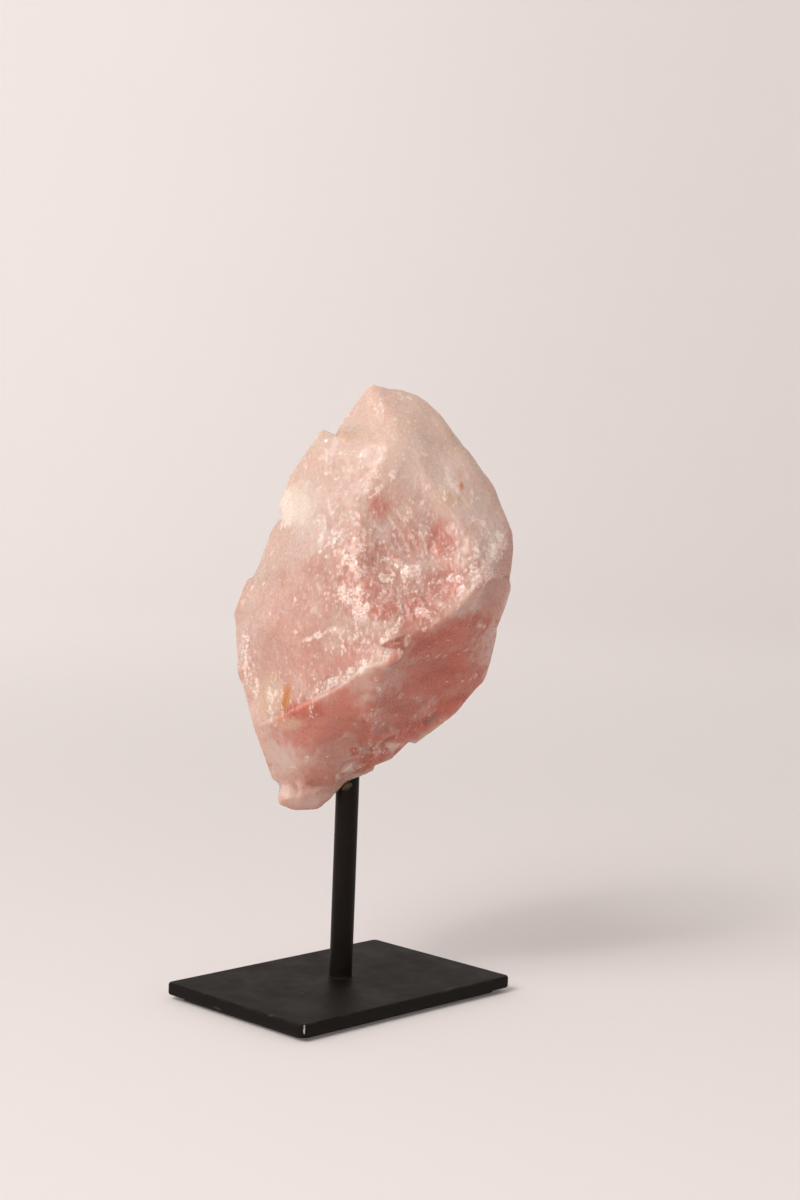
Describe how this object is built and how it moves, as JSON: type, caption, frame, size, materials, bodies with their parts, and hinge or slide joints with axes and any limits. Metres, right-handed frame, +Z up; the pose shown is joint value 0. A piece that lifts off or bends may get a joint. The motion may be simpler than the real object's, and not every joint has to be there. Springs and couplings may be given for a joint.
{
  "type": "rose quartz display stone",
  "caption": "Rough rose quartz stone held upright on a round black steel rod that is welded to a flat rectangular plate, with a thin pad under it to rest on a table.",
  "frame": {"origin": "On the floor, at the centre of the underside of the pad, which is the centre of the plate.", "axes": "+Z is up, along the rod. The plate's long side runs along X and its short side along Y."},
  "size_m": [0.12, 0.0973, 0.2506],
  "materials": {
    "rose_quartz": "rough broken crystal, cloudy pink",
    "black_steel": "satin black paint, softly worn at the edges",
    "pad": "matt black",
    "glue": "clear olive-tinted glue, glossy"
  },
  "bodies": {
    "root": {"rose_quartz_chunk": "rose_quartz", "support_rod": "black_steel", "base_plate": "black_steel", "weld_bead": "black_steel", "base_pad": "pad", "glue_bead": "glue"}
  },
  "joints": []
}
